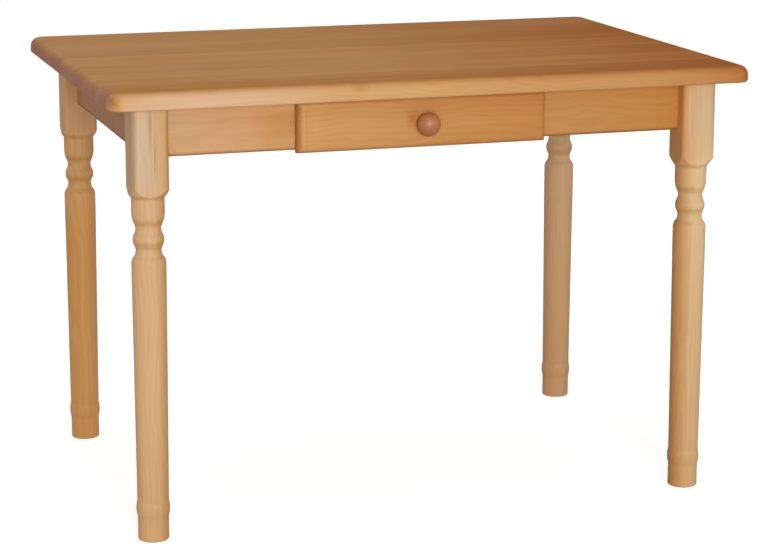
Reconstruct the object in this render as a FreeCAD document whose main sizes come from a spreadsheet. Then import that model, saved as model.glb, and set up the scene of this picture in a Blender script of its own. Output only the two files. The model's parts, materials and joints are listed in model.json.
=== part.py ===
import FreeCAD, Part
import os
import Sketcher
from math import sqrt

# A tavern table in pine: an edge-glued top on four turned legs, which are bolted to corner
# blocks between the aprons, with one drawer in the front apron.
# Millimetres. The origin is on the floor under the middle of the top, +X runs along the
# table's length, the front with the drawer faces -Y, and +Z is up.

ROOT_TWO = sqrt(2.0)
DIAGONAL = 1.0 / ROOT_TWO

# ---------------------------------------------------------------- driving dimensions

DIMENSIONS = {
    # top
    "table_height": 750.0,
    "top_length": 1100.0,
    "top_width": 750.0,
    "top_thickness": 28.0,
    "top_corner_radius": 25.0,
    "top_edge_round": 16.0,
    "top_under_ease": 4.0,
    "top_overhang": 45.0,
    # legs: square block and turned profile, from the top down and from the floor up
    "leg_square": 60.0,
    "leg_corner_round": 7.0,
    "block_length": 151.0,
    "block_shoulder": 24.5,
    "cup_radius": 27.0,
    "cup_straight": 23.5,
    "cup_curve": 18.0,
    "cup_bow": 44.0,
    "cup_foot_radius": 23.4,
    "neck_length": 18.0,
    "neck_hollow": 17.5,
    "bead_edge_radius": 23.3,
    "bead_length": 18.0,
    "bead_bow": 19.5,
    "shaft_shoulder_radius": 23.5,
    "shaft_shoulder_length": 11.0,
    "shaft_shoulder_bow": 16.0,
    "shaft_top_radius": 28.2,
    "shaft_straight": 34.0,
    "shaft_foot_radius": 25.9,
    "ring_length": 27.0,
    "ring_bow": 48.0,
    "foot_length": 37.5,
    "foot_radius": 25.5,
    "foot_ease": 1.5,
    # aprons
    "apron_height": 86.0,
    "apron_thickness": 20.0,
    "apron_setback": 24.0,
    "apron_ease": 2.0,
    # corner blocks and their hanger bolts
    "corner_gap": 3.0,
    "corner_thickness": 22.0,
    "corner_height": 70.0,
    "bolt_radius": 4.0,
    "bolt_hole_radius": 4.5,
    "bolt_hole_overrun": 1.0,
    "bolt_in_leg": 32.0,
    "bolt_beyond_nut": 4.0,
    "washer_radius": 12.0,
    "washer_thickness": 2.0,
    "nut_radius": 7.5,
    "nut_thickness": 6.5,
    # wood screws
    "screw_radius": 2.0,
    "screw_head_radius": 4.0,
    "screw_head_depth": 3.0,
    "screw_bite": 15.0,
    "corner_screw_inset": 16.0,
    "corner_screw_seat": 10.0,
    "corner_screw_spread": 36.0,
    "corner_bore_radius": 5.0,
    # strips that hold the top
    "cleat_size": 20.0,
    "cleat_length": 300.0,
    "cleat_screw_spread": 220.0,
    # drawer opening, runners, kickers and stop
    "drawer_shift": -18.0,
    "opening_width": 380.0,
    "opening_height": 56.0,
    "opening_rail": 12.0,
    "ledge_lift": 2.0,
    "ledge_width": 18.0,
    "guide_width": 20.0,
    "guide_height": 64.0,
    "side_play": 1.0,
    "runner_tenon": 8.0,
    "tenon_width": 12.0,
    "tenon_height": 44.0,
    "kicker_play": 1.0,
    "kicker_width": 33.0,
    "kicker_length": 380.0,
    "kicker_screw_spread": 260.0,
    "button_width": 20.0,
    "button_thickness": 10.0,
    "button_length": 31.0,
    "button_end_round": 6.0,
    "button_gap": 1.0,
    "button_screw_length": 22.0,
    # drawer
    "running_gap": 0.3,
    "front_width": 429.0,
    "front_height": 87.5,
    "front_thickness": 20.0,
    "front_edge_round": 11.0,
    "front_drop": 4.0,
    "box_length": 400.0,
    "box_wall": 12.0,
    "side_height": 50.0,
    "opening_side_gap": 2.0,
    "bottom_thickness": 4.0,
    "bottom_groove": 6.0,
    "bottom_lift": 6.0,
    "dowel_radius": 3.0,
    "dowel_length": 30.0,
    "dowel_spread": 26.0,
    "dowel_lift": 4.0,
    "front_screw_spread_x": 260.0,
    "front_screw_spread_z": 22.0,
    "front_screw_lift": 6.0,
    # knob
    "knob_radius": 20.0,
    "knob_aside": 4.0,
    "knob_drop": 3.0,
    "knob_neck_radius": 9.5,
    "knob_foot_radius": 12.0,
    "knob_foot_depth": 2.5,
    "knob_neck_depth": 2.5,
    "knob_flare_depth": 9.0,
    "knob_dome_depth": 14.5,
    "knob_under_bow": 12.0,
    "knob_screw_radius": 2.0,
    "knob_screw_bite": 15.0,
    "knob_screw_head_radius": 4.0,
    "knob_screw_head": 2.5,
}

BOARD_COUNT = 7

doc = FreeCAD.newDocument("TavernTable")


class Length:
    """A length, with the expression that works it out from the sheet of sizes."""

    def __init__(self, value, rule):
        self.value = value
        self.rule = rule

    def __add__(self, other):
        other = as_length(other)
        return Length(self.value + other.value, "(%s + %s)" % (self.rule, other.rule))

    def __sub__(self, other):
        other = as_length(other)
        return Length(self.value - other.value, "(%s - %s)" % (self.rule, other.rule))

    def __mul__(self, other):
        other = as_length(other)
        return Length(self.value * other.value, "(%s * %s)" % (self.rule, other.rule))

    def __truediv__(self, other):
        other = as_length(other)
        return Length(self.value / other.value, "(%s / %s)" % (self.rule, other.rule))

    def __neg__(self):
        return Length(-self.value, "(0 - %s)" % self.rule)


def as_length(amount):
    """The amount itself where it is a Length, and a plain number as one."""
    if isinstance(amount, Length):
        return amount
    return Length(float(amount), "(%.9g)" % amount)


class Sizes:
    """The driving dimensions by name, each read from its own cell of the sheet."""


sheet = doc.addObject("Spreadsheet::Sheet", "sizes")
size = Sizes()
for row, (alias, amount) in enumerate(DIMENSIONS.items(), start=1):
    sheet.set("A%d" % row, alias)
    sheet.set("B%d" % row, str(amount))
    sheet.setAlias("B%d" % row, alias)
    setattr(size, alias, Length(amount, "sizes." + alias))
doc.recompute()

nodes = {}


def node(name, piece):
    """Register a finished piece under the name of its file."""
    piece.Label = name
    nodes[name] = piece
    return piece


# ---------------------------------------------------------------- ways of making a piece

def place(piece, x, y, z, rotation=FreeCAD.Rotation()):
    """Put a piece's own origin at a point given by lengths, turned by a fixed rotation."""
    piece.Placement = FreeCAD.Placement(FreeCAD.Vector(0, 0, 0), rotation)
    for axis, amount in zip("xyz", (x, y, z)):
        piece.setExpression("Placement.Base." + axis, as_length(amount).rule)
    return piece


def turned(quarters):
    """A rotation of so many quarter turns about the vertical."""
    return FreeCAD.Rotation(FreeCAD.Vector(0, 0, 1), 90.0 * quarters)


def block(name, low, high):
    """A rectangular piece between its low and its high corner."""
    piece = doc.addObject("Part::Box", name)
    for side, bottom, top in zip(("Length", "Width", "Height"), low, high):
        piece.setExpression(side, (as_length(top) - bottom).rule)
    return place(piece, *low)


def rod(name, start, direction, radius, length):
    """A round rod from its start along a direction."""
    piece = doc.addObject("Part::Cylinder", name)
    piece.setExpression("Radius", radius.rule)
    piece.setExpression("Height", length.rule)
    up = FreeCAD.Vector(0, 0, 1)
    return place(piece, *start, FreeCAD.Rotation(up, FreeCAD.Vector(*direction)))


def group(name, pieces):
    """Separate solids kept together as one object."""
    compound = doc.addObject("Part::Compound", name)
    compound.Links = pieces
    return compound


def fused(name, pieces):
    """Pieces grown into one."""
    union = doc.addObject("Part::MultiFuse", name)
    union.Shapes = pieces
    return union


def cut(name, blank, tools):
    """The blank less the tools, which may be the pieces that seat in it."""
    result = doc.addObject("Part::Cut", name)
    result.Base = blank
    result.Tool = tools[0] if len(tools) == 1 else group(name + "_tools", tools)
    return result


def wood_screw(name, head, direction, length):
    """A countersunk screw whose head is flush at a point."""
    shank = rod(name + "_shank", head, direction, size.screw_radius, length)
    cone = doc.addObject("Part::Cone", name + "_head")
    cone.setExpression("Radius1", size.screw_head_radius.rule)
    cone.setExpression("Radius2", size.screw_radius.rule)
    cone.setExpression("Height", size.screw_head_depth.rule)
    up = FreeCAD.Vector(0, 0, 1)
    place(cone, *head, FreeCAD.Rotation(up, FreeCAD.Vector(*direction)))
    return fused(name, [shank, cone])


def new_body(name):
    """An empty PartDesign body."""
    return doc.addObject("PartDesign::Body", name)


def outline(body, plane, corners):
    """A closed sketch on one of the body's own planes.

    Each corner is (x, y) or (x, y, bow): bow is the radius of the arc to the next corner,
    negative where the arc bows to the left of the way the outline runs.
    """
    sketch = body.newObject("Sketcher::SketchObject", body.Name + "_outline")
    plane_object = [each for each in body.Origin.OriginFeatures if each.Role == plane][0]
    sketch.AttachmentSupport = (plane_object, [""])
    sketch.MapMode = "FlatFace"
    spots = [(as_length(corner[0]), as_length(corner[1])) for corner in corners]
    bows = [as_length(corner[2]) if len(corner) > 2 else None for corner in corners]
    points = [FreeCAD.Vector(x.value, y.value, 0) for x, y in spots]
    constraints = []
    rules = []
    ends = []
    for index, (start, bow) in enumerate(zip(points, bows)):
        finish = points[(index + 1) % len(points)]
        if bow is None:
            segment = sketch.addGeometry(Part.LineSegment(start, finish), False)
        else:
            chord = finish - start
            right = FreeCAD.Vector(chord.y, -chord.x, 0).normalize()
            radius = abs(bow.value)
            rise = radius - sqrt(radius ** 2 - chord.Length ** 2 / 4)
            middle = (start + finish) / 2 + right * (rise if bow.value > 0 else -rise)
            segment = sketch.addGeometry(Part.Arc(start, middle, finish), False)
            rules.append((len(constraints), bow if bow.value > 0 else -bow))
            constraints.append(Sketcher.Constraint("Radius", segment, radius))
        forward = sketch.getPoint(segment, 1).distanceToPoint(start) < 1e-6
        ends.append((segment, 1 if forward else 2, 2 if forward else 1))
    for index, (segment, first, last) in enumerate(ends):
        following, entry, _ = ends[(index + 1) % len(ends)]
        constraints.append(Sketcher.Constraint("Coincident", segment, last, following, entry))
        x, y = spots[index]
        rules.append((len(constraints), x))
        constraints.append(Sketcher.Constraint("DistanceX", -1, 1, segment, first, x.value))
        rules.append((len(constraints), y))
        constraints.append(Sketcher.Constraint("DistanceY", -1, 1, segment, first, y.value))
    sketch.addConstraint(constraints)
    for index, length in rules:
        sketch.setExpression("Constraints[%d]" % index, length.rule)
    return sketch


def rectangle(half_width, low, high):
    """The corners of a rectangle centred on the sketch's upright axis."""
    return [(-half_width, low), (half_width, low), (half_width, high), (-half_width, high)]


def padded(body, sketch, length):
    """Grow the body from the sketch."""
    pad = body.newObject("PartDesign::Pad", body.Name + "_pad")
    pad.Profile = sketch
    pad.setExpression("Length", length.rule)
    doc.recompute()
    return pad


def rounded(body, base, radius, wanted):
    """Round the edges that wanted accepts."""
    names = ["Edge%d" % (index + 1)
             for index, edge in enumerate(base.Shape.Edges) if wanted(edge)]
    fillet = body.newObject("PartDesign::Fillet", body.Name + "_round")
    fillet.Base = (base, names)
    fillet.setExpression("Radius", radius.rule)
    doc.recompute()
    return fillet


def is_upright(edge):
    """Whether an edge runs straight up."""
    box = edge.BoundBox
    return box.XLength < 1e-6 and box.YLength < 1e-6


def lies_at(axis, level):
    """A test for edges that lie wholly at one level of an axis of the body."""
    def test(edge):
        box = edge.BoundBox
        low = getattr(box, axis + "Min")
        high = getattr(box, axis + "Max")
        return abs(low - level.value) < 1e-4 and abs(high - level.value) < 1e-4
    return test


# ---------------------------------------------------------------- places worked out

underside = size.table_height - size.top_thickness
leg_half = size.leg_square / 2
leg_x = size.top_length / 2 - size.top_overhang - leg_half
leg_y = size.top_width / 2 - size.top_overhang - leg_half
apron_bottom = underside - size.apron_height
apron_face_x = leg_x + leg_half - size.apron_setback
apron_face_y = leg_y + leg_half - size.apron_setback
apron_inner_x = apron_face_x - size.apron_thickness
apron_inner_y = apron_face_y - size.apron_thickness

# Each corner: its name, the signs of its x and y, and the quarter turns that bring the
# front left leg there.
CORNERS = [("front_left", -1, -1, 0), ("front_right", 1, -1, 1),
           ("back_right", 1, 1, 2), ("back_left", -1, 1, 3)]


def at_corner(x_sign, y_sign, quarters, x, y):
    """A point measured inwards from a leg's axis, along the front left leg's own axes."""
    for _ in range(quarters):
        x, y = -y, x
    return leg_x * x_sign + x, leg_y * y_sign + y


def corner_direction(quarters, x, y):
    """A direction of the front left corner, turned to another corner."""
    for _ in range(quarters):
        x, y = -y, x
    return (x, y, 0)


# ---------------------------------------------------------------- hanger bolts, washers, nuts

# Along the diagonal from a leg's axis: the leg's inner corner, then the gap, the corner
# block, the washer and the nut.
bolt_height = underside - size.apron_height / 2
leg_corner_reach = leg_half * ROOT_TWO
bolt_start = leg_corner_reach - size.bolt_in_leg
block_near = leg_corner_reach + size.corner_gap
block_far = block_near + size.corner_thickness
nut_start = block_far + size.washer_thickness
bolt_end = nut_start + size.nut_thickness + size.bolt_beyond_nut

bolts = []
bolt_holes = []
washers = []
nuts = []
for name, x_sign, y_sign, quarters in CORNERS:
    outward = corner_direction(quarters, DIAGONAL, DIAGONAL)

    def along_diagonal(reach):
        """The point of the bolt's line at a reach from the leg's axis."""
        step = reach * DIAGONAL
        return (*at_corner(x_sign, y_sign, quarters, step, step), bolt_height)

    bolt = rod("bolt_" + name, along_diagonal(bolt_start), outward,
               size.bolt_radius, bolt_end - bolt_start)
    bolts.append(bolt)
    bolt_holes.append(rod("bolt_hole_" + name, along_diagonal(block_near - size.bolt_hole_overrun),
                          outward, size.bolt_hole_radius,
                          size.corner_thickness + size.bolt_hole_overrun * 2))
    disc = rod("washer_disc_" + name, along_diagonal(block_far), outward,
               size.washer_radius, size.washer_thickness)
    washers.append(cut("washer_" + name, disc, [bolt]))
    hexagon = doc.addObject("Part::Prism", "nut_hexagon_" + name)
    hexagon.Polygon = 6
    hexagon.setExpression("Circumradius", size.nut_radius.rule)
    hexagon.setExpression("Height", size.nut_thickness.rule)
    place(hexagon, *along_diagonal(nut_start),
          FreeCAD.Rotation(FreeCAD.Vector(0, 0, 1), FreeCAD.Vector(*outward)))
    nuts.append(cut("nut_" + name, hexagon, [bolt]))

node("hanger_bolts", group("hanger_bolts", bolts))
node("bolt_washers", group("bolt_washers", washers))
node("bolt_nuts", group("bolt_nuts", nuts))

# ---------------------------------------------------------------- turned legs

# The lathe leaves the block square and turns the rest, so the tool's path is a groove
# swept round the leg's axis. It runs from the floor up, at each stage's radius.
turning_clear = size.leg_square * 0.75
block_bottom = underside - size.block_length
cup_bottom = block_bottom - size.cup_straight - size.cup_curve
bead_top = cup_bottom - size.neck_length
bead_bottom = bead_top - size.bead_length
shoulder_top = bead_bottom - size.neck_length
shoulder_bottom = shoulder_top - size.shaft_shoulder_length
ring_bottom = size.foot_ease + size.foot_length
ring_top = ring_bottom + size.ring_length

LEG_PROFILE = [
    (turning_clear, as_length(0)),
    (size.foot_radius - size.foot_ease, as_length(0)),
    (size.foot_radius, size.foot_ease),
    (size.foot_radius, ring_bottom, size.ring_bow),
    (size.shaft_foot_radius, ring_top),
    (size.shaft_top_radius, shoulder_bottom - size.shaft_straight),
    (size.shaft_top_radius, shoulder_bottom, size.shaft_shoulder_bow),
    (size.shaft_shoulder_radius, shoulder_top, -size.neck_hollow),
    (size.bead_edge_radius, bead_bottom, size.bead_bow),
    (size.bead_edge_radius, bead_top, -size.neck_hollow),
    (size.cup_foot_radius, cup_bottom, size.cup_bow),
    (size.cup_radius, cup_bottom + size.cup_curve),
    (size.cup_radius, block_bottom),
    (turning_clear, block_bottom + size.block_shoulder),
]


def turned_leg(name):
    """One leg: a square blank with softened edges, turned below its block."""
    body = new_body(name)
    square = outline(body, "XY_Plane", rectangle(leg_half, -leg_half, leg_half))
    blank = padded(body, square, underside)
    eased = rounded(body, blank, size.leg_corner_round, is_upright)
    path = outline(body, "XZ_Plane", LEG_PROFILE)
    turning = body.newObject("PartDesign::Groove", name + "_turning")
    turning.Profile = path
    turning.ReferenceAxis = (path, ["V_Axis"])
    turning.Angle = 360.0
    doc.recompute()
    if turning.Shape.Volume > 0.9 * eased.Shape.Volume:
        raise RuntimeError("the turning removed nothing from " + name)
    return body


for index, (name, x_sign, y_sign, quarters) in enumerate(CORNERS):
    leg_turned = turned_leg("turned_leg_" + name)
    place(leg_turned, leg_x * x_sign, leg_y * y_sign, 0, turned(quarters))
    node("leg_" + name, cut("leg_" + name, leg_turned, [bolts[index]]))

# ---------------------------------------------------------------- corner blocks

# A mitred block whose ends seat on the two aprons. In the leg's own axes the inner faces
# of both aprons stand at the same distance from the leg's axis.
apron_inner_offset = size.apron_setback + size.apron_thickness - leg_half
near_end = block_near * ROOT_TWO - apron_inner_offset
far_end = block_far * ROOT_TWO - apron_inner_offset
screw_line = far_end - size.corner_screw_inset
screw_seat = apron_inner_offset + size.corner_screw_seat
corner_middle = underside - size.corner_height / 2

corner_screws = []
corner_bores = []
for index, (name, x_sign, y_sign, quarters) in enumerate(CORNERS):
    body = new_body("mitred_block_" + name)
    shape = outline(body, "XY_Plane", [
        (near_end, apron_inner_offset), (far_end, apron_inner_offset),
        (apron_inner_offset, far_end), (apron_inner_offset, near_end)])
    padded(body, shape, size.corner_height)
    place(body, leg_x * x_sign, leg_y * y_sign, underside - size.corner_height,
          turned(quarters))
    screws = []
    bores = []
    for level, lift in enumerate((-size.corner_screw_spread / 2,
                                  size.corner_screw_spread / 2)):
        height = corner_middle + lift
        for end, (x, y, across, inward) in enumerate((
                (screw_line, screw_seat, 0, -1), (screw_seat, screw_line, -1, 0))):
            key = "%s_%d%d" % (name, level, end)
            spot = (*at_corner(x_sign, y_sign, quarters, x, y), height)
            drive = corner_direction(quarters, across, inward)
            screws.append(wood_screw("corner_screw_" + key, spot, drive,
                                     size.corner_screw_seat + size.screw_bite))
            bores.append(rod("corner_bore_" + key, spot,
                             (-drive[0], -drive[1], 0), size.corner_bore_radius,
                             size.corner_thickness))
    corner_screws.extend(screws)
    node("corner_block_" + name,
         cut("corner_block_" + name, body, [bolt_holes[index], *screws, *bores]))

node("corner_block_screws", group("corner_block_screws", corner_screws))

# ---------------------------------------------------------------- cleats that hold the top

cleat_bottom = underside - size.cleat_size
cleat_half = size.cleat_length / 2
INTO_TOP = (0, 0, 1)

top_screws = []
cleat_screws = []


def cleat(name, low, high, spots, drive):
    """A strip under the top, screwed up into it and sideways into its apron."""
    blank = block(name + "_blank", low, high)
    here = []
    for index, (x, y, side_x, side_y) in enumerate(spots):
        up = wood_screw("%s_up_%d" % (name, index), (x, y, cleat_bottom), INTO_TOP,
                        size.cleat_size + size.screw_bite)
        side = wood_screw("%s_side_%d" % (name, index),
                          (side_x, side_y, underside - size.cleat_size / 2), drive,
                          size.cleat_size + size.screw_bite)
        top_screws.append(up)
        cleat_screws.append(side)
        here += [up, side]
    node(name, cut(name, blank, here))


# The sideways screws stand beside the upright ones, and never cross them.
side_step = size.cleat_screw_spread / 2
side_offset = size.cleat_size
for side, sign in (("left", -1), ("right", 1)):
    outer = apron_inner_x * sign
    inner = (apron_inner_x - size.cleat_size) * sign
    middle = (apron_inner_x - size.cleat_size / 2) * sign
    low_x, high_x = (outer, inner) if sign < 0 else (inner, outer)
    cleat("top_cleat_" + side, (low_x, -cleat_half, cleat_bottom),
          (high_x, cleat_half, underside),
          [(middle, step, inner, step + side_offset) for step in (-side_step, side_step)],
          (sign, 0, 0))

back_inner = apron_inner_y - size.cleat_size
back_middle = apron_inner_y - size.cleat_size / 2
cleat("top_cleat_back", (-cleat_half, back_inner, cleat_bottom),
      (cleat_half, apron_inner_y, underside),
      [(step, back_middle, step + side_offset, back_inner)
       for step in (-side_step, side_step)], (0, 1, 0))

node("cleat_screws", group("cleat_screws", cleat_screws))

# ---------------------------------------------------------------- drawer runners and kickers

# Across the table, measured from the middle of the drawer: the drawer's side runs on the
# ledge, beside the guide, and under the kicker.
drawer_middle = size.drawer_shift
opening_bottom = apron_bottom + size.opening_rail
opening_top = opening_bottom + size.opening_height
opening_half = size.opening_width / 2
side_outer = opening_half - size.opening_side_gap
guide_face = side_outer + size.side_play
ledge_top = opening_bottom + size.ledge_lift
side_bottom = ledge_top + size.running_gap
side_top = side_bottom + size.side_height
kicker_bottom = side_top + size.kicker_play
tenon_low = apron_bottom + size.opening_rail - size.ledge_lift

runners = []
kicker_middle_y = size.kicker_length / 2 - apron_inner_y


def runner(side, sign):
    """An L-shaped strip from apron to apron, tenoned into both."""
    body = new_body("runner_strip_" + side)
    shape = outline(body, "XZ_Plane", [
        ((guide_face - size.ledge_width) * sign, 0),
        ((guide_face + size.guide_width) * sign, 0),
        ((guide_face + size.guide_width) * sign, size.guide_height),
        (guide_face * sign, size.guide_height),
        (guide_face * sign, ledge_top - apron_bottom),
        ((guide_face - size.ledge_width) * sign, ledge_top - apron_bottom)])
    padded(body, shape, apron_inner_y * 2)
    place(body, drawer_middle, apron_inner_y, apron_bottom)
    tenon_near = guide_face + (size.guide_width - size.tenon_width) / 2
    tenon_far = tenon_near + size.tenon_width
    near, far = (tenon_near, tenon_far) if sign > 0 else (-tenon_far, -tenon_near)
    reach = apron_inner_y + size.runner_tenon
    tongue = block("runner_tongue_" + side, (drawer_middle + near, -reach, tenon_low),
                   (drawer_middle + far, reach, tenon_low + size.tenon_height))
    strip = fused("drawer_runner_" + side, [body, tongue])
    runners.append(strip)
    node("drawer_runner_" + side, strip)


def kicker(side, sign):
    """A strip over the drawer's side, which keeps the open drawer from tipping."""
    near = guide_face - size.ledge_width
    far = near + size.kicker_width
    low_x, high_x = (near, far) if sign > 0 else (-far, -near)
    blank = block("kicker_blank_" + side, (drawer_middle + low_x, -apron_inner_y,
                                           kicker_bottom),
                  (drawer_middle + high_x, size.kicker_length - apron_inner_y, underside))
    screws = []
    for end, step in enumerate((-size.kicker_screw_spread / 2,
                                size.kicker_screw_spread / 2)):
        spot = (drawer_middle + (far - size.screw_head_radius * 2) * sign,
                kicker_middle_y + step, kicker_bottom)
        screws.append(wood_screw("kicker_screw_%s_%d" % (side, end), spot, INTO_TOP,
                                 underside - kicker_bottom + size.screw_bite))
    top_screws.extend(screws)
    node("drawer_kicker_" + side, cut("drawer_kicker_" + side, blank, screws))


for side, sign in (("left", -1), ("right", 1)):
    runner(side, sign)
    kicker(side, sign)

node("tabletop_screws", group("tabletop_screws", top_screws))

# ---------------------------------------------------------------- turn-button stop

# A wooden button behind the top rail of the opening. It hangs down into the path of the
# drawer's back, and is turned aside to take the drawer out.
button_top = underside - size.button_gap
button_body = new_body("button_shape")
button_low = button_top - size.button_length
button_shape = outline(button_body, "XZ_Plane",
                       rectangle(size.button_width / 2, button_low, button_top))
button_pad = padded(button_body, button_shape, size.button_thickness)
rounded(button_body, button_pad, size.button_end_round,
        lambda edge: edge.BoundBox.YLength > size.button_thickness.value / 2)
place(button_body, drawer_middle, size.button_thickness - apron_inner_y, 0)
button_screw = wood_screw(
    "turn_button_screw",
    (drawer_middle, size.button_thickness - apron_inner_y,
     (opening_top + underside) / 2), (0, -1, 0), size.button_screw_length)
node("turn_button_screw", button_screw)
node("drawer_turn_button", cut("drawer_turn_button", button_body, [button_screw]))

# ---------------------------------------------------------------- aprons

APRONS = [
    ("front", leg_x - leg_half, as_length(0), -apron_inner_y, 0),
    ("right", leg_y - leg_half, apron_inner_x, as_length(0), 1),
    ("back", leg_x - leg_half, as_length(0), apron_inner_y, 2),
    ("left", leg_y - leg_half, -apron_inner_x, as_length(0), 3),
]
apron_tools = {
    "front": [nodes["corner_block_screws"], *runners, button_screw],
    "right": [nodes["corner_block_screws"], nodes["cleat_screws"]],
    "back": [nodes["corner_block_screws"], nodes["cleat_screws"], *runners],
    "left": [nodes["corner_block_screws"], nodes["cleat_screws"]],
}

for side, half, x, y, quarters in APRONS:
    body = new_body("apron_board_" + side)
    face = outline(body, "XZ_Plane", rectangle(half, as_length(0), size.apron_height))
    board = padded(body, face, size.apron_thickness)
    eased = rounded(body, board, size.apron_ease, lies_at("Z", as_length(0)))
    if side == "front":
        hole = outline(body, "XZ_Plane", [
            (drawer_middle - opening_half, size.opening_rail),
            (drawer_middle + opening_half, size.opening_rail),
            (drawer_middle + opening_half, size.opening_rail + size.opening_height),
            (drawer_middle - opening_half, size.opening_rail + size.opening_height)])
        opening = body.newObject("PartDesign::Pocket", "drawer_opening")
        opening.Profile = hole
        opening.Type = "ThroughAll"
        opening.Reversed = True
        doc.recompute()
        if opening.Shape.Volume > 0.9 * eased.Shape.Volume:
            raise RuntimeError("the drawer opening removed nothing")
    place(body, x, y, apron_bottom, turned(quarters))
    node("apron_" + side, cut("apron_" + side, body, apron_tools[side]))

# ---------------------------------------------------------------- edge-glued top

# The panel is shaped and drilled whole, and its boards are what it is glued up from.
panel = new_body("top_panel")
panel_outline = outline(panel, "XY_Plane",
                        rectangle(size.top_length / 2, -size.top_width / 2,
                                  size.top_width / 2))
panel_pad = padded(panel, panel_outline, size.top_thickness)
panel_corners = rounded(panel, panel_pad, size.top_corner_radius, is_upright)
panel_top = rounded(panel, panel_corners, size.top_edge_round,
                    lies_at("Z", size.top_thickness))
rounded(panel, panel_top, size.top_under_ease, lies_at("Z", as_length(0)))
place(panel, 0, 0, underside)
panel_drilled = cut("top_panel_drilled", panel, [nodes["tabletop_screws"]])

board_width = size.top_width / BOARD_COUNT
for index in range(BOARD_COUNT):
    front = board_width * index - size.top_width / 2
    strip = block("board_strip_%d" % (index + 1),
                  (-size.top_length / 2, front, underside),
                  (size.top_length / 2, front + board_width, size.table_height))
    board = doc.addObject("Part::Common", "top_board_%d" % (index + 1))
    board.Base = panel_drilled
    board.Tool = strip
    node("top_board_%d" % (index + 1), board)

# ---------------------------------------------------------------- drawer box

# The drawer's face closes on the front apron. Its box passes through the opening.
front_back_y = -apron_face_y - size.running_gap
inner_back_y = front_back_y + size.box_wall
box_back_y = front_back_y + size.box_length
back_front_y = box_back_y - size.box_wall
side_inner = side_outer - size.box_wall
front_bottom = apron_bottom - size.front_drop
knob_height = front_bottom + size.front_height / 2 - size.knob_drop
knob_middle = drawer_middle + size.knob_aside
panel_low = side_bottom + size.bottom_lift
box_middle_z = (side_bottom + side_top) / 2

bottom_half = side_inner + size.bottom_groove
drawer_bottom = node("drawer_bottom", block(
    "drawer_bottom",
    (drawer_middle - bottom_half, inner_back_y - size.bottom_groove, panel_low),
    (drawer_middle + bottom_half, back_front_y + size.bottom_groove,
     panel_low + size.bottom_thickness)))

dowels = []
for side, sign in (("left", -1), ("right", 1)):
    for end, y in (("front", inner_back_y - size.box_wall / 2),
                   ("back", back_front_y + size.box_wall / 2)):
        for level, lift in enumerate((-size.dowel_spread / 2, size.dowel_spread / 2)):
            dowels.append(rod(
                "dowel_%s_%s_%d" % (side, end, level),
                (drawer_middle + side_outer * sign, y, box_middle_z + size.dowel_lift + lift),
                (-sign, 0, 0), size.dowel_radius, size.dowel_length))
drawer_dowels = node("drawer_dowels", group("drawer_dowels", dowels))

front_screws = []
for x_step in (-size.front_screw_spread_x / 2, size.front_screw_spread_x / 2):
    for z_step in (-size.front_screw_spread_z / 2, size.front_screw_spread_z / 2):
        front_screws.append(wood_screw(
            "front_screw_%d" % len(front_screws),
            (drawer_middle + x_step, inner_back_y,
             knob_height + size.front_screw_lift + z_step), (0, -1, 0),
            size.box_wall + size.screw_bite - size.screw_head_depth))
drawer_front_screws = node("drawer_front_screws",
                           group("drawer_front_screws", front_screws))

# The knob's screw comes through both fronts from inside, with its head on the inner one.
knob_shank = rod("knob_shank", (knob_middle, inner_back_y, knob_height), (0, -1, 0),
                 size.knob_screw_radius,
                 size.box_wall + size.front_thickness + size.knob_screw_bite)
knob_head = rod("knob_head", (knob_middle, inner_back_y, knob_height), (0, 1, 0),
                size.knob_screw_head_radius, size.knob_screw_head)
knob_screw = node("knob_screw", fused("knob_screw", [knob_shank, knob_head]))

for side, sign in (("left", -1), ("right", 1)):
    low_x, high_x = ((-side_outer, -side_inner) if sign < 0 else (side_inner, side_outer))
    wall = block("side_wall_" + side,
                 (drawer_middle + low_x, front_back_y, side_bottom),
                 (drawer_middle + high_x, box_back_y, side_top))
    node("drawer_side_" + side,
         cut("drawer_side_" + side, wall, [drawer_bottom, drawer_dowels]))

inner_wall = block("inner_wall", (drawer_middle - side_inner, front_back_y, side_bottom),
                   (drawer_middle + side_inner, inner_back_y, side_top))
node("drawer_inner_front", cut("drawer_inner_front", inner_wall, [
    drawer_bottom, drawer_dowels, drawer_front_screws, knob_screw]))

back_wall = block("back_wall", (drawer_middle - side_inner, back_front_y, side_bottom),
                  (drawer_middle + side_inner, box_back_y, side_top))
node("drawer_back", cut("drawer_back", back_wall, [drawer_bottom, drawer_dowels]))

# ---------------------------------------------------------------- drawer front

face_body = new_body("face_board")
face_outline = outline(face_body, "XZ_Plane", rectangle(
    size.front_width / 2, as_length(0), size.front_height))
face_pad = padded(face_body, face_outline, size.front_thickness)
rounded(face_body, face_pad, size.front_edge_round, lies_at("Y", -size.front_thickness))
place(face_body, drawer_middle, front_back_y, front_bottom)
node("drawer_front", cut("drawer_front", face_body, [drawer_front_screws, knob_screw]))

# ---------------------------------------------------------------- turned knob

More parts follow.
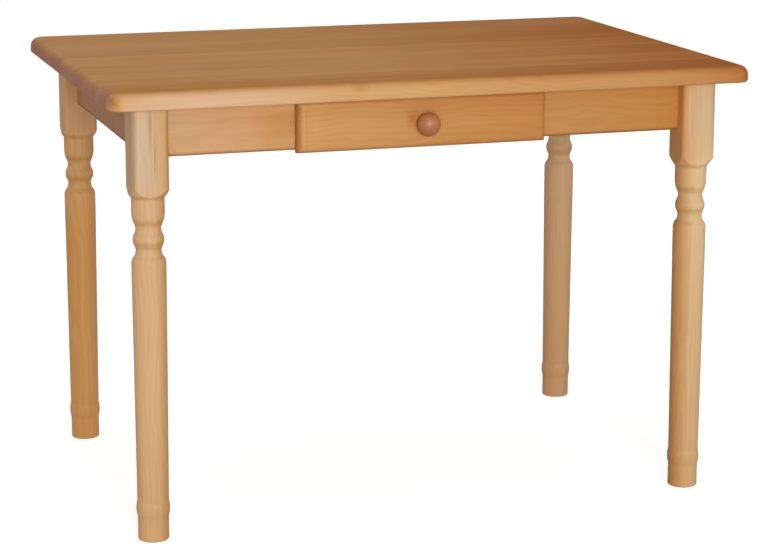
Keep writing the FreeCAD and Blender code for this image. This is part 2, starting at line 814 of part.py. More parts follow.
# Drawn as half a section, from the foot on the drawer's face forward to the dome.
neck_end = size.knob_foot_depth + size.knob_neck_depth
rim_depth = neck_end + size.knob_flare_depth
dome = size.knob_dome_depth
dome_bow = (size.knob_radius * size.knob_radius + dome * dome) / (dome * 2)
knob_body = new_body("knob_turning")
knob_section = outline(knob_body, "XY_Plane", [
    (as_length(0), as_length(0)),
    (as_length(0), -(rim_depth + dome), dome_bow),
    (size.knob_radius, -rim_depth, size.knob_under_bow),
    (size.knob_neck_radius, -neck_end),
    (size.knob_neck_radius, -size.knob_foot_depth),
    (size.knob_foot_radius, as_length(0))])
knob_turned = knob_body.newObject("PartDesign::Revolution", "knob_revolved")
knob_turned.Profile = knob_section
knob_turned.ReferenceAxis = (knob_section, ["V_Axis"])
knob_turned.Angle = 360.0
place(knob_body, knob_middle, front_back_y - size.front_thickness, knob_height)
node("drawer_knob", cut("drawer_knob", knob_body, [knob_screw]))

# ---------------------------------------------------------------- check and write

doc.recompute()
for piece in doc.Objects:
    if "Invalid" in piece.State or "Error" in piece.State:
        raise RuntimeError("%s did not build: %s" % (piece.Label, piece.State))

os.makedirs("parts", exist_ok=True)
for name, piece in nodes.items():
    shape = piece.Shape
    if shape.isNull() or not shape.isValid() or not shape.Solids:
        raise RuntimeError(name + " has no valid solid")
    shape.exportStep(os.path.join("parts", name + ".step"))
    print("%-26s %2d solid(s) %10.1f mm3" % (name, len(shape.Solids), shape.Volume))
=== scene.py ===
import json
from math import cos, radians, sin

import bpy
from mathutils import Matrix, Vector

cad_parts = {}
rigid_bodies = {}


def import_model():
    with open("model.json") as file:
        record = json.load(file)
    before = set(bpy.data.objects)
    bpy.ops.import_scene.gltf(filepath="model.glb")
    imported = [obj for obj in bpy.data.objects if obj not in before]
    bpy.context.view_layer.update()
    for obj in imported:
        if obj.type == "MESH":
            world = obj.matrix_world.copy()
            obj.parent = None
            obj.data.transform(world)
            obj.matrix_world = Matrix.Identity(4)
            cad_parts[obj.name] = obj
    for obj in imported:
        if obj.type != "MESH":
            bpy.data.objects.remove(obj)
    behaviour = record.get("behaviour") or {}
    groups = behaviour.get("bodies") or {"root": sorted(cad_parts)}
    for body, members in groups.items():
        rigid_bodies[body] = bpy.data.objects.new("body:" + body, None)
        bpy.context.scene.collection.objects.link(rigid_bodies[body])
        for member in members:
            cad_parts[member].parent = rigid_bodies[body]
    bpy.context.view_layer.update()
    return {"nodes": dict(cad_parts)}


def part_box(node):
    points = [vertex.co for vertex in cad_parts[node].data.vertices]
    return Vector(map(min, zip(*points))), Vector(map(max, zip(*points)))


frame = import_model()
nodes = frame["nodes"]
# The load leaves the pieces selected, and an operator would act on them too.
for piece in bpy.context.scene.objects:
    piece.select_set(False)

# ---------------------------------------------------------------- studio
# A pale sheet on the floor runs out of sight behind the table. A broad soft lamp stands in
# front, a weak bluish one at the left and one overhead, and a white room fills the shade.

scene = bpy.context.scene
scene.view_settings.view_transform = "Standard"

# The camera stands in front and to the left, above the top, and looks down at the table.
# Places are in metres, angles in radians and the lens in millimetres.
CAMERA_PLACE = Vector((-1.24075, -3.91536, 1.30362))
CAMERA_YAW = 0.311
CAMERA_PITCH = 0.1977
CAMERA_ROLL = 0.0021
CAMERA_LENS = 110.03
CAMERA_FILM_WIDTH = 36.0
CAMERA_SHIFT_UP = -0.104
CAMERA_FAR_LIMIT = 200.0

forward = Vector((sin(CAMERA_YAW) * cos(CAMERA_PITCH), cos(CAMERA_YAW) * cos(CAMERA_PITCH),
                  -sin(CAMERA_PITCH)))
level = Vector((cos(CAMERA_YAW), -sin(CAMERA_YAW), 0.0))
upright = level.cross(forward)
across = level * cos(CAMERA_ROLL) + upright * sin(CAMERA_ROLL)
upward = upright * cos(CAMERA_ROLL) - level * sin(CAMERA_ROLL)

camera_data = bpy.data.cameras.new("camera")
camera_data.lens = CAMERA_LENS
camera_data.sensor_width = CAMERA_FILM_WIDTH
camera_data.shift_y = CAMERA_SHIFT_UP
camera_data.clip_end = CAMERA_FAR_LIMIT
camera = bpy.data.objects.new("camera", camera_data)
scene.collection.objects.link(camera)
camera.matrix_world = (Matrix.Translation(CAMERA_PLACE)
                       @ Matrix((across, upward, -forward)).transposed().to_4x4())
scene.camera = camera


def soft_lamp(name, place, target, width, power, colour):
    """A square lamp aimed at a point."""
    lamp_data = bpy.data.lights.new(name, "AREA")
    lamp_data.shape = "SQUARE"
    lamp_data.size = width
    lamp_data.energy = power
    lamp_data.color = colour
    lamp = bpy.data.objects.new(name, lamp_data)
    scene.collection.objects.link(lamp)
    aim = Vector(target) - Vector(place)
    lamp.matrix_world = (Matrix.Translation(place)
                         @ aim.to_track_quat("-Z", "Y").to_matrix().to_4x4())


soft_lamp("front_lamp", place=(-0.6, -6.0, 1.4), target=(0.0, -0.2, 0.5),
          width=1.5, power=170.0, colour=(1.0, 0.99, 0.97))
soft_lamp("window_light", place=(-4.2, -0.9, 2.2), target=(0.0, 0.0, 0.6),
          width=2.4, power=5.0, colour=(0.72, 0.76, 1.0))
soft_lamp("ceiling_light", place=(0.0, 0.3, 3.3), target=(0.0, 0.0, 0.0),
          width=3.0, power=14.0, colour=(1.0, 1.0, 1.0))

# The room is seen white by the camera and in gloss, and lights the table more weakly.
ROOM_WHITE = (1.0, 1.0, 1.0, 1.0)
ROOM_SEEN = 1.0
ROOM_FILL = 0.40
world = bpy.data.worlds.new("white_room")
scene.world = world
world.use_nodes = True
room = world.node_tree
room_fill = room.nodes["Background"]
room_fill.inputs["Color"].default_value = ROOM_WHITE
room_fill.inputs["Strength"].default_value = ROOM_FILL
room_seen = room.nodes.new("ShaderNodeBackground")
room_seen.inputs["Color"].default_value = ROOM_WHITE
room_seen.inputs["Strength"].default_value = ROOM_SEEN
room_path = room.nodes.new("ShaderNodeLightPath")
room_first = room.nodes.new("ShaderNodeMath")
room_first.operation = "MAXIMUM"
room.links.new(room_path.outputs["Is Camera Ray"], room_first.inputs[0])
room.links.new(room_path.outputs["Is Glossy Ray"], room_first.inputs[1])
room_any = room.nodes.new("ShaderNodeMath")
room_any.operation = "MAXIMUM"
room.links.new(room_first.outputs[0], room_any.inputs[0])
room.links.new(room_path.outputs["Is Transmission Ray"], room_any.inputs[1])
room_mix = room.nodes.new("ShaderNodeMixShader")
room.links.new(room_any.outputs[0], room_mix.inputs[0])
room.links.new(room_fill.outputs[0], room_mix.inputs[1])
room.links.new(room_seen.outputs[0], room_mix.inputs[2])
room.links.new(room_mix.outputs[0], room.nodes["World Output"].inputs["Surface"])

# The sheet lies just under the feet, and glows to the camera alone, up to white.
FLOOR_REACH = 80.0
FLOOR_DROP = 0.0005
FLOOR_GREY = 0.80
FLOOR_GLOW = 0.68
bpy.ops.mesh.primitive_plane_add(size=FLOOR_REACH, location=(0.0, 0.0, -FLOOR_DROP))
floor = bpy.context.object
floor.name = "floor_sheet"
floor_finish = bpy.data.materials.new("pale_sheet")
floor_finish.use_nodes = True
sheet = floor_finish.node_tree
sheet_paper = sheet.nodes["Principled BSDF"]
sheet_paper.inputs["Base Color"].default_value = (FLOOR_GREY, FLOOR_GREY, FLOOR_GREY, 1.0)
sheet_paper.inputs["Roughness"].default_value = 1.0
sheet_paper.inputs["Specular IOR Level"].default_value = 0.0
sheet_glow = sheet.nodes.new("ShaderNodeEmission")
sheet_path = sheet.nodes.new("ShaderNodeLightPath")
sheet_level = sheet.nodes.new("ShaderNodeMath")
sheet_level.operation = "MULTIPLY"
sheet_level.inputs[1].default_value = FLOOR_GLOW
sheet.links.new(sheet_path.outputs["Is Camera Ray"], sheet_level.inputs[0])
sheet.links.new(sheet_level.outputs[0], sheet_glow.inputs["Strength"])
sheet_sum = sheet.nodes.new("ShaderNodeAddShader")
sheet.links.new(sheet_paper.outputs[0], sheet_sum.inputs[0])
sheet.links.new(sheet_glow.outputs[0], sheet_sum.inputs[1])
sheet.links.new(sheet_sum.outputs[0], sheet.nodes["Material Output"].inputs["Surface"])
floor.data.materials.append(floor_finish)

# ---------------------------------------------------------------- glued top
# Seven pine boards edge-glued into one panel, planed, shaped and lacquered together. Each
# came from its own log, so its tone and its rings differ a little from the next one's.

# The turn that brings a piece's grain onto X, for grain that runs along each axis.
ALONG_X = (0.0, 0.0, 0.0)
ALONG_Y = (0.0, 0.0, radians(-90))
ALONG_Z = (0.0, radians(90), 0.0)

# How fast the wood changes along the log and across it, per metre.
BEND_SCALE = (1.3, 3.5, 3.5)
UNEVEN_SCALE = (0.3, 1.0, 1.0)
UNEVEN_FINENESS = 24.0
FIGURE_SCALE = (2.2, 14.0, 14.0)
STREAK_SCALE = (0.8, 30.0, 30.0)
FIBRE_SCALE = (14.0, 900.0, 900.0)
PATCH_SCALE = (2.0, 7.0, 7.0)

# How far the trunk bends, in metres, how many ring widths the rings wander, how faint they
# get, and how dark each ring is across its width.
CLOUD_MIDDLE = (0.5, 0.5, 0.5)
TRUNK_BEND = (0.0, 0.08, 0.08)
RING_WANDER = 3.2
FAINTEST_FIGURE = 0.35
RING_START = (0.0, 0.40)
RING_MIDDLE = ((0.15, 0.10), (0.5, 0.20), (0.82, 0.75))
RING_END = (1.0, 0.50)

# What each part of the wood does to its tone, in red, green and blue.
LATEWOOD_TINT = (0.72, 0.52, 0.36)
STREAK_DEPTH = (1.0, 1.6, 2.2)
PATCH_TINT = (0.95, 0.91, 0.85)
RUBBED_TINT = (1.10, 1.16, 1.28)
FIBRE_SHADES = (0.95, 1.04)

# A mark is full inside its core, a share of its reach, and ragged by a share of it too.
MARK_CORE = 0.1
MARK_RAGGED = 0.35

# The rubbed edges: how far they reach, how sharp the edge has to be, and the least wear.
RUBBED_REACH = 0.0025
RUBBED_SHARPNESS = (0.85, 0.99)
RUBBED_SAMPLES = 4
LEAST_WEAR = 0.3

# The finish: how much the fibres vary its gloss, its clear coat, and the grain felt in it.
DULLER_BY = 0.06
GLOSSIER_BY = 0.05
COAT_ROUGHNESS = 0.2
GRAIN_RELIEF = 0.2
GRAIN_DEPTH = 0.0002


def pine(name, turn, pith, tone, ring=0.0045, figure=0.35, shift=0.0, streak=0.10,
         gloss=0.45, shine=0.20, lacquer=0.0, tints=(), marks=()):
    """Wood sawn from a log whose pith runs beside the piece, and its finish.

    turn brings the grain onto X, and pith is where the log's middle lies across it. The
    rings are cylinders about the pith, so faces, edges and ends of a piece agree. ring is
    their width, figure how strongly they show, shift the place along the log, and streak
    the depth of the long streaks. gloss is the roughness, shine the reflection, and lacquer
    the clear coat. Each of tints is an axis, where the tint starts and ends, and its
    colour. Each of marks is a place, its reach and its colour.
    """
    finish = bpy.data.materials.new(name)
    finish.use_nodes = True
    tree = finish.node_tree
    links = tree.links
    lacquered = tree.nodes["Principled BSDF"]

    def add(kind, **settings):
        """Add a node and set it up."""
        made = tree.nodes.new(kind)
        for key, value in settings.items():
            setattr(made, key, value)
        return made

    def maths(operation, first, second):
        """Work out one sum from two numbers or sockets."""
        made = add("ShaderNodeMath", operation=operation)
        for socket, value in zip(made.inputs, (first, second)):
            if isinstance(value, float):
                socket.default_value = value
            else:
                links.new(value, socket)
        return made.outputs[0]

    def stretched(vector, scale):
        """Multiply a vector by a scale along each axis."""
        made = add("ShaderNodeVectorMath", operation="MULTIPLY")
        links.new(vector, made.inputs[0])
        made.inputs[1].default_value = scale
        return made.outputs[0]

    def cloud(vector, scale=1.0, detail=2.0, roughness=0.5):
        """Soft noise, mostly between 0.3 and 0.7."""
        made = add("ShaderNodeTexNoise")
        made.inputs["Scale"].default_value = scale
        made.inputs["Detail"].default_value = detail
        made.inputs["Roughness"].default_value = roughness
        links.new(vector, made.inputs["Vector"])
        return made.outputs

    def ranged(value, low, high, start=0.3, end=0.7):
        """Go from low to high while the value goes from start to end."""
        made = add("ShaderNodeMapRange")
        links.new(value, made.inputs["Value"])
        made.inputs["From Min"].default_value = start
        made.inputs["From Max"].default_value = end
        made.inputs["To Min"].default_value = low
        made.inputs["To Max"].default_value = high
        return made.outputs[0]

    def tinted(colour, amount, tint):
        """Multiply a colour by a tint, as far as the amount says."""
        made = add("ShaderNodeMix", data_type="RGBA", blend_type="MULTIPLY")
        links.new(amount, made.inputs["Factor"])
        links.new(colour, made.inputs["A"])
        made.inputs["B"].default_value = (*tint, 1.0)
        return made.outputs["Result"]

    spot = add("ShaderNodeTexCoord")
    log = add("ShaderNodeMapping")
    log.inputs["Rotation"].default_value = turn
    log.inputs["Location"].default_value = (shift, -pith[0], -pith[1])
    links.new(spot.outputs["Object"], log.inputs["Vector"])
    log_point = log.outputs["Vector"]

    # The trunk bends and swells along its length.
    bend = cloud(stretched(log_point, BEND_SCALE), detail=1.0)["Color"]
    centred = add("ShaderNodeVectorMath", operation="SUBTRACT")
    links.new(bend, centred.inputs[0])
    centred.inputs[1].default_value = CLOUD_MIDDLE
    bent = add("ShaderNodeVectorMath", operation="ADD")
    links.new(log_point, bent.inputs[0])
    links.new(stretched(centred.outputs[0], TRUNK_BEND), bent.inputs[1])
    from_pith = add("ShaderNodeVectorMath", operation="LENGTH")
    links.new(stretched(bent.outputs[0], (0.0, 1.0, 1.0)), from_pith.inputs[0])

    # Rings: pale earlywood that darkens into a thin latewood line, of uneven width and
    # strength.
    uneven = cloud(stretched(bent.outputs[0], UNEVEN_SCALE), UNEVEN_FINENESS)["Fac"]
    count = maths("ADD", maths("DIVIDE", from_pith.outputs["Value"], ring),
                  maths("MULTIPLY", uneven, RING_WANDER))
    latewood = add("ShaderNodeValToRGB")
    for stop, (position, grey) in zip(latewood.color_ramp.elements, (RING_START, RING_END)):
        stop.position = position
        stop.color = (grey, grey, grey, 1.0)
    for position, grey in RING_MIDDLE:
        stop = latewood.color_ramp.elements.new(position)
        stop.color = (grey, grey, grey, 1.0)
    links.new(maths("FRACT", count, 0.0), latewood.inputs["Fac"])
    strength = cloud(stretched(log_point, FIGURE_SCALE))["Fac"]
    rings = maths("MULTIPLY", latewood.outputs["Color"],
                  ranged(strength, figure * FAINTEST_FIGURE, figure))

    # Long soft streaks, fine fibres, and broad patches of deeper stain.
    streaks = cloud(stretched(log_point, STREAK_SCALE), detail=3.0, roughness=0.55)["Fac"]
    fibres = cloud(stretched(log_point, FIBRE_SCALE), roughness=0.6)["Fac"]
    patches = cloud(stretched(log_point, PATCH_SCALE), detail=1.0)["Fac"]

    wood = add("ShaderNodeMix", data_type="RGBA")
    links.new(rings, wood.inputs["Factor"])
    wood.inputs["A"].default_value = (*tone, 1.0)
    wood.inputs["B"].default_value = (*(part * tint for part, tint
                                        in zip(tone, LATEWOOD_TINT)), 1.0)
    colour = wood.outputs["Result"]
    colour = tinted(colour, ranged(streaks, 1.0, 0.0),
                    tuple(1.0 - streak * depth for depth in STREAK_DEPTH))
    colour = tinted(colour, ranged(patches, 1.0, 0.0), PATCH_TINT)
    for axis, start, end, tint in tints:
        apart = add("ShaderNodeSeparateXYZ")
        links.new(spot.outputs["Object"], apart.inputs[0])
        colour = tinted(colour, ranged(apart.outputs[axis], 0.0, 1.0, start, end), tint)

    # A mark fades out to its reach, with an outline that the streaks make ragged.
    for place, reach, tint in marks:
        off = add("ShaderNodeVectorMath", operation="SUBTRACT")
        links.new(spot.outputs["Object"], off.inputs[0])
        off.inputs[1].default_value = place
        away = add("ShaderNodeVectorMath", operation="LENGTH")
        links.new(stretched(off.outputs[0], tuple(1.0 / each for each in reach)),
                  away.inputs[0])
        ragged = maths("ADD", away.outputs["Value"],
                       ranged(streaks, -MARK_RAGGED, MARK_RAGGED))
        colour = tinted(colour, ranged(ragged, 0.0, 1.0, 1.0, MARK_CORE), tint)

    # Handling has rubbed the stain paler along the sharp edges.
    eased = add("ShaderNodeBevel", samples=RUBBED_SAMPLES)
    eased.inputs["Radius"].default_value = RUBBED_REACH
    facing = add("ShaderNodeNewGeometry")
    turned_away = add("ShaderNodeVectorMath", operation="DOT_PRODUCT")
    links.new(eased.outputs["Normal"], turned_away.inputs[0])
    links.new(facing.outputs["Normal"], turned_away.inputs[1])
    sharp = ranged(turned_away.outputs["Value"], 1.0, 0.0, *RUBBED_SHARPNESS)
    rubbed = maths("MULTIPLY", sharp, ranged(streaks, LEAST_WEAR, 1.0))
    colour = tinted(colour, rubbed, RUBBED_TINT)

    grained = add("ShaderNodeVectorMath", operation="SCALE")
    links.new(colour, grained.inputs[0])
    links.new(ranged(fibres, *FIBRE_SHADES), grained.inputs["Scale"])
    links.new(grained.outputs[0], lacquered.inputs["Base Color"])

    links.new(ranged(fibres, gloss - GLOSSIER_BY, gloss + DULLER_BY),
              lacquered.inputs["Roughness"])
    lacquered.inputs["Specular IOR Level"].default_value = shine
    lacquered.inputs["Coat Weight"].default_value = lacquer
    lacquered.inputs["Coat Roughness"].default_value = COAT_ROUGHNESS
    relief = add("ShaderNodeBump")
    relief.inputs["Strength"].default_value = GRAIN_RELIEF
    relief.inputs["Distance"].default_value = GRAIN_DEPTH
    links.new(maths("ADD", fibres, rings), relief.inputs["Height"])
    links.new(relief.outputs["Normal"], lacquered.inputs["Normal"])
    return finish


def finished(node, finish):
    """Give a CAD node one material."""
    mesh = nodes[node].data
    mesh.materials.clear()
    mesh.materials.append(finish)


# The colour warms and deepens towards the right-hand end and a little towards the front.
# Both ends are greyer, the left by painted bluish shade. The front board's edge is paler.
TOP_WARMER = ("X", -0.45, 0.00, (0.98, 0.95, 0.86))
TOP_DEEPER = ("X", -0.05, 0.55, (0.76, 0.55, 0.43))
LEFT_END_PAINTED_SHADE = ("X", -0.540, -0.549, (0.82, 0.77, 1.02))
RIGHT_END = ("X", 0.540, 0.549, (0.90, 0.84, 1.05))
FRONT_DEEPER = ("Y", -0.230, -0.330, (0.91, 0.83, 0.71))
PALE_FRONT_EDGE = ("Y", -0.3645, -0.3735, (1.11, 1.37, 1.81))
TOP_TONE = (0.753, 0.412, 0.184)
BOARD_SHIFT = 2.7

# Each board: how light it is, the pith's place across the grain from the board's own
# middle, and the rings' width.
TOP_BOARDS = [
    (0.99, (0.035, -0.085), 0.0050), (1.03, (-0.060, -0.060), 0.0042),
    (0.97, (0.020, 0.110), 0.0055), (1.02, (0.070, -0.050), 0.0045),
    (0.94, (-0.030, -0.120), 0.0052), (0.94, (0.050, 0.070), 0.0044),
    (0.93, (-0.045, -0.080), 0.0048),
]
# The front board's marks: a small knot in its edge, paler stretches at both ends, the two
# corners, painted bluish shade on its left end, and painted shade in the turn of the left
# corner.
EDGE_MARKS = (
    ((-0.142, -0.375, 0.742), (0.020, 0.020, 0.014), (0.92, 0.80, 0.58)),
    ((-0.400, -0.380, 0.735), (0.260, 0.030, 0.040), (1.10, 1.22, 1.56)),
    ((0.370, -0.380, 0.735), (0.200, 0.030, 0.040), (1.07, 1.17, 1.13)),
    ((-0.535, -0.372, 0.732), (0.014, 0.020, 0.020), (0.98, 0.76, 0.50)),
    ((0.540, -0.372, 0.732), (0.100, 0.030, 0.030), (0.92, 0.82, 0.64)),
    ((-0.553, -0.318, 0.730), (0.028, 0.085, 0.036), (0.84, 0.93, 2.00)),
    ((-0.541, -0.369, 0.736), (0.014, 0.014, 0.011), (0.72, 0.68, 0.52)),
)
# Long pale and dark flames in the top's face, a pale patch at its back right, and the
# shaded foot of its left end.
FLAMES = (
    ((0.400, 0.084, 0.750), (0.240, 0.014, 0.020), (1.08, 1.10, 1.14)),
    ((0.320, -0.190, 0.750), (0.260, 0.016, 0.020), (1.09, 1.11, 1.16)),
    ((-0.280, 0.215, 0.750), (0.280, 0.024, 0.020), (1.00, 0.98, 0.94)),
    ((0.480, 0.325, 0.750), (0.260, 0.110, 0.020), (1.18, 1.34, 1.90)),
    ((-0.060, -0.275, 0.750), (0.240, 0.020, 0.020), (0.93, 0.89, 0.82)),
    ((-0.420, -0.240, 0.750), (0.160, 0.022, 0.020), (0.95, 0.92, 0.86)),
    ((-0.552, -0.100, 0.722), (0.030, 0.900, 0.022), (0.98, 1.05, 1.42)),
)
for number, (lightness, offset, ring) in enumerate(TOP_BOARDS, start=1):
    board = "top_board_%d" % number
    low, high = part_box(board)
    middle = (low + high) / 2
    finished(board, pine("pine_" + board, ALONG_X,
                         (middle.y + offset[0], middle.z + offset[1]),
                         tuple(each * lightness for each in TOP_TONE), ring, figure=0.26,
                         shift=number * BOARD_SHIFT, streak=0.07, gloss=0.60, shine=0.0,
                         tints=((TOP_WARMER, TOP_DEEPER, FRONT_DEEPER, PALE_FRONT_EDGE)
                                if number == 1 else
                                (TOP_WARMER, TOP_DEEPER, FRONT_DEEPER, LEFT_END_PAINTED_SHADE, RIGHT_END)),
                         marks=EDGE_MARKS if number == 1 else FLAMES))

# ---------------------------------------------------------------- turned legs
# Each leg is one square of paler pine, turned on a lathe below its block and sanded. The
# grain runs up it, and the turning cuts through the rings.

# Each leg: its tone, the pith's place beside its axis, and its tints and marks. The front
# left block has two dark grain lines and painted shade on its inner corner, the front right
# one a painted highlight along its inner corner, and both have painted shade on their outer
# corner. The front left leg has painted light on its left side and painted shade on its
# right, and the front right leg painted shade on its left side. The back left leg is a
# lighter copy of the pine, painted light for the light that the top keeps off it, and its
# back half is paler and less orange.
LEGS = {
    "leg_front_left": (
        (0.736, 0.455, 0.227), (0.030, 0.055),
        (("X", -0.470, -0.448, (0.95, 0.83, 0.58)), ("X", -0.482, -0.500, (1.10, 1.08, 1.0)),
         ("Z", 0.080, 0.480, (1.06, 1.13, 1.30)), ("Z", 0.560, 0.600, (0.94, 1.01, 1.10))),
        (((-0.490, -0.335, 0.660), (0.020, 0.010, 0.110), (0.93, 1.09, 1.42)),
         ((-0.5055, -0.331, 0.660), (0.009, 0.006, 0.300), (0.66, 0.66, 0.74)),
         ((-0.4755, -0.330, 0.690), (0.0030, 0.010, 0.055), (0.70, 0.58, 0.48)),
         ((-0.4690, -0.330, 0.640), (0.0026, 0.010, 0.055), (0.74, 0.62, 0.52)),
         ((-0.4470, -0.329, 0.650), (0.0065, 0.012, 0.130), (0.80, 0.66, 0.50)))),
    "leg_front_right": (
        (0.739, 0.463, 0.227), (-0.050, 0.035),
        (("X", 0.470, 0.447, (0.87, 0.66, 0.43)), ("Z", 0.050, 0.470, (1.08, 1.22, 1.37)),
         ("Z", 0.560, 0.600, (0.97, 0.89, 0.81))),
        (((0.490, -0.335, 0.660), (0.036, 0.022, 0.130), (0.79, 0.96, 1.26)),
         ((0.4560, -0.335, 0.660), (0.014, 0.012, 0.150), (0.97, 1.16, 1.62)),
         ((0.5040, -0.331, 0.660), (0.010, 0.006, 0.150), (0.80, 0.82, 0.85)),
         ((0.4555, -0.330, 0.680), (0.0040, 0.010, 0.080), (1.12, 1.20, 1.38)))),
    "leg_back_left": (
        (0.877, 0.461, 0.161), (0.045, -0.045),
        (("Z", 0.400, 0.500, (1.02, 1.19, 1.50)), ("Z", 0.560, 0.600, (1.0, 1.0, 1.23)),
         ("Y", 0.298, 0.318, (0.92, 1.05, 1.42))), ()),
    "leg_back_right": ((0.713, 0.428, 0.213), (-0.040, -0.050),
                       (("Z", 0.100, 0.450, (1.03, 1.15, 1.33)),), ()),
}
LEG_SHIFT = 3.1
LEG_START = 0.4
# Painted shade darkens the two turned hollows and the wood under the block's shoulder all
# round: each ring has its height and how far it spreads up and down.
HOLLOW_SHADE_REACH = 0.090
HOLLOW_SHADE_RINGS = ((0.4955, 0.009), (0.532, 0.008), (0.574, 0.006))
HOLLOW_SHADE_TINT = (0.86, 0.77, 0.62)
for number, (leg, (tone, offset, tints, marks)) in enumerate(LEGS.items()):
    low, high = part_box(leg)
    middle = (low + high) / 2
    marks += tuple(((middle.x, middle.y, height), (HOLLOW_SHADE_REACH, HOLLOW_SHADE_REACH, reach),
                    HOLLOW_SHADE_TINT) for height, reach in HOLLOW_SHADE_RINGS)
    finished(leg, pine("pine_" + leg, ALONG_Z, (middle.y + offset[0], offset[1] - middle.x),
                       tone, ring=0.0062, figure=0.28, streak=0.08, tints=tints,
                       marks=marks, shift=number * LEG_SHIFT + LEG_START))

# ---------------------------------------------------------------- aprons
# Four planed boards with softened lower edges, screwed to the corner blocks. The front one
# has the drawer's opening cut through it.

APRON_TONE = (0.700, 0.405, 0.185)
# The side aprons take a darker copy of the pine: painted shade.
SHADED_SIDE_TONE = (0.592, 0.272, 0.112)
APRON_SHIFT = 4.3
APRON_START = 1.7
APRON_PITH = (0.06, -0.03)
# The colour deepens towards the right, from the table's middle on.
DEEPER = ("X", -0.15, 0.55, (0.85, 0.64, 0.22))
# The front one's marks: a painted shadow in a strip beside the drawer, a darker patch next
# to it, and a pale left end.
APRON_MARKS = (
    ((-0.2350, -0.306, 0.680), (0.0050, 0.010, 0.070), (0.96, 0.92, 0.87)),
    ((-0.2600, -0.306, 0.670), (0.0550, 0.020, 0.090), (0.94, 0.82, 0.62)),
    ((-0.4350, -0.306, 0.680), (0.0700, 0.030, 0.090), (1.01, 1.11, 1.26)),
)
# Painted shade darkens the softened lower edge: where it starts and where it is full,
# above the edge.
LOWER_SHADE_TOP = 0.0060
LOWER_SHADE_FULL = 0.0010
LOWER_EDGE_SHADE = (0.52, 0.35, 0.23)
for number, (apron, turn) in enumerate((("apron_front", ALONG_X), ("apron_back", ALONG_X),
                                        ("apron_left", ALONG_Y), ("apron_right", ALONG_Y))):
    low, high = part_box(apron)
    middle = (low + high) / 2
    sideways = middle.y if turn == ALONG_X else -middle.x
    lower_edge = ("Z", low.z + LOWER_SHADE_TOP, low.z + LOWER_SHADE_FULL, LOWER_EDGE_SHADE)
    finished(apron, pine("pine_" + apron, turn,
                         (sideways + APRON_PITH[0], middle.z + APRON_PITH[1]),
                         SHADED_SIDE_TONE if turn == ALONG_Y else APRON_TONE, ring=0.0055,
                         figure=0.30, shift=number * APRON_SHIFT + APRON_START,
                         tints=(DEEPER, lower_edge), marks=APRON_MARKS))

# ---------------------------------------------------------------- hidden carcase wood
# Corner blocks, cleats, runners, kickers, the stop and the drawer's box, planed from pine
# and left bare of stain. Screws, dowels and short tenons hold them.

BARE_TONE = (0.660, 0.440, 0.225)
BARE_PITH = (0.07, 0.04)
PITH_STEP = 0.01
BARE_SHIFT = 1.9
HIDDEN_X = ["top_cleat_back", "drawer_inner_front", "drawer_back"]
HIDDEN_Y = ["top_cleat_left", "top_cleat_right", "drawer_runner_left", "drawer_runner_right",
            "drawer_kicker_left", "drawer_kicker_right", "drawer_side_left",
            "drawer_side_right"]
HIDDEN_Z = ["corner_block_front_left", "corner_block_front_right", "corner_block_back_left",
            "corner_block_back_right", "drawer_turn_button"]
for turn, hidden in ((ALONG_X, HIDDEN_X), (ALONG_Y, HIDDEN_Y), (ALONG_Z, HIDDEN_Z)):
    for number, name in enumerate(hidden):
        finished(name, pine("bare_" + name, turn,
                            (BARE_PITH[0] + PITH_STEP * number, BARE_PITH[1]), BARE_TONE,
                            ring=0.0045, figure=0.5, shift=number * BARE_SHIFT, gloss=0.6))

# ---------------------------------------------------------------- drawer front and knob
# The front is one board with a moulded edge, laid over the apron. The knob is turned from
# a redder hardwood and lacquered to a gloss.

FRONT_TONE = (0.665, 0.342, 0.121)
FRONT_PITH = (0.05, -0.05)
low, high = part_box("drawer_front")
middle = (low + high) / 2
# Painted shade darkens the moulding's left and lower sides.
FRONT_LEFT_SHADE = ("X", low.x + 0.0070, low.x + 0.0030, (0.89, 0.79, 0.66))
FRONT_LOWER_SHADE = ("Z", low.z + 0.0070, low.z, (0.86, 0.72, 0.56))
# A painted highlight along a line and a pale patch at the left, and the knob's painted
# shadow at its upper left.
FRONT_MARKS = (
    ((low.x + 0.0095, low.y, middle.z), (0.0026, 0.020, 0.060), (1.10, 1.18, 1.32)),
    ((low.x + 0.0300, low.y, middle.z), (0.0300, 0.020, 0.060), (1.03, 1.09, 1.20)),
    ((middle.x - 0.0200, low.y, 0.679), (0.0160, 0.020, 0.020), (0.82, 0.62, 0.40)),
)
finished("drawer_front", pine("pine_drawer_front", ALONG_X,
                              (middle.y + FRONT_PITH[0], middle.z + FRONT_PITH[1]),
                              FRONT_TONE, ring=0.0055, figure=0.30, shift=8.3,
                              tints=(DEEPER, FRONT_LEFT_SHADE, FRONT_LOWER_SHADE), marks=FRONT_MARKS))

KNOB_TONE = (0.530, 0.208, 0.086)
KNOB_PITH = (0.02, -0.03)
low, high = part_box("drawer_knob")
middle = (low + high) / 2
# The knob is darker towards its lower side: painted shade.
KNOB_SHADE = ("Z", middle.z + 0.010, low.z, (0.76, 0.60, 0.46))
finished("drawer_knob", pine("hardwood_knob", ALONG_Y,
                             (KNOB_PITH[0] - middle.x, middle.z + KNOB_PITH[1]),
                             KNOB_TONE, ring=0.0022, figure=0.2, shift=2.2, streak=0.05,
                             gloss=0.42, shine=0.5, lacquer=0.1, tints=(KNOB_SHADE,)))

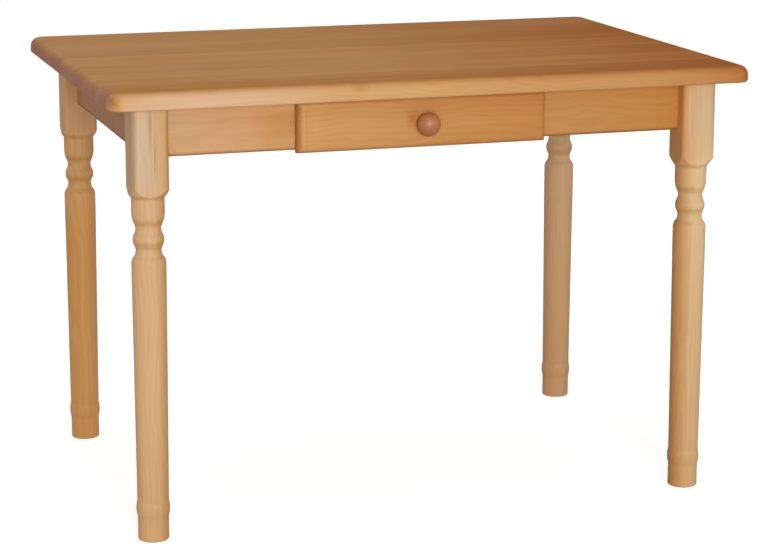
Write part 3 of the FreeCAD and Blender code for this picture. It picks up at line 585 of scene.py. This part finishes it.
# ---------------------------------------------------------------- drawer bottom
# A thin sheet of birch plywood, sanded and left bare. It is held in grooves in the
# drawer's four sides.

PLY_TONE = (0.680, 0.500, 0.300)
PLY_PITH = (0.3, 0.4)
finished("drawer_bottom", pine("birch_ply", ALONG_X, PLY_PITH, PLY_TONE, ring=0.012,
                               figure=0.3, shift=5.1, gloss=0.6))

# ---------------------------------------------------------------- dowels and fasteners
# Beech dowels, glued into the drawer's corners, and screws and bolts of zinc-plated steel,
# the bolts with washers and nuts.

BEECH_TONE = (0.600, 0.400, 0.230)
BEECH_PITH = (0.01, 0.02)
finished("drawer_dowels", pine("beech_dowels", ALONG_X, BEECH_PITH, BEECH_TONE,
                               ring=0.0015, figure=0.3, gloss=0.6))

# The zinc is cloudy, smoother in some spots than in others.
ZINC_GREY = (0.62, 0.62, 0.60, 1.0)
ZINC_CLOUDINESS = 220.0
ZINC_SMOOTH = 0.22
ZINC_DULL = 0.45
zinc = bpy.data.materials.new("zinc_plate")
zinc.use_nodes = True
zinc_shader = zinc.node_tree.nodes["Principled BSDF"]
zinc_shader.inputs["Base Color"].default_value = ZINC_GREY
zinc_shader.inputs["Metallic"].default_value = 1.0
zinc_cloud = zinc.node_tree.nodes.new("ShaderNodeTexNoise")
zinc_cloud.inputs["Scale"].default_value = ZINC_CLOUDINESS
zinc_rough = zinc.node_tree.nodes.new("ShaderNodeMapRange")
zinc_rough.inputs["To Min"].default_value = ZINC_SMOOTH
zinc_rough.inputs["To Max"].default_value = ZINC_DULL
zinc_spot = zinc.node_tree.nodes.new("ShaderNodeTexCoord")
zinc.node_tree.links.new(zinc_spot.outputs["Object"], zinc_cloud.inputs["Vector"])
zinc.node_tree.links.new(zinc_cloud.outputs["Fac"], zinc_rough.inputs["Value"])
zinc.node_tree.links.new(zinc_rough.outputs[0], zinc_shader.inputs["Roughness"])
for name in ("hanger_bolts", "bolt_washers", "bolt_nuts", "corner_block_screws",
             "cleat_screws", "tabletop_screws", "turn_button_screw", "drawer_front_screws",
             "knob_screw"):
    finished(name, zinc)
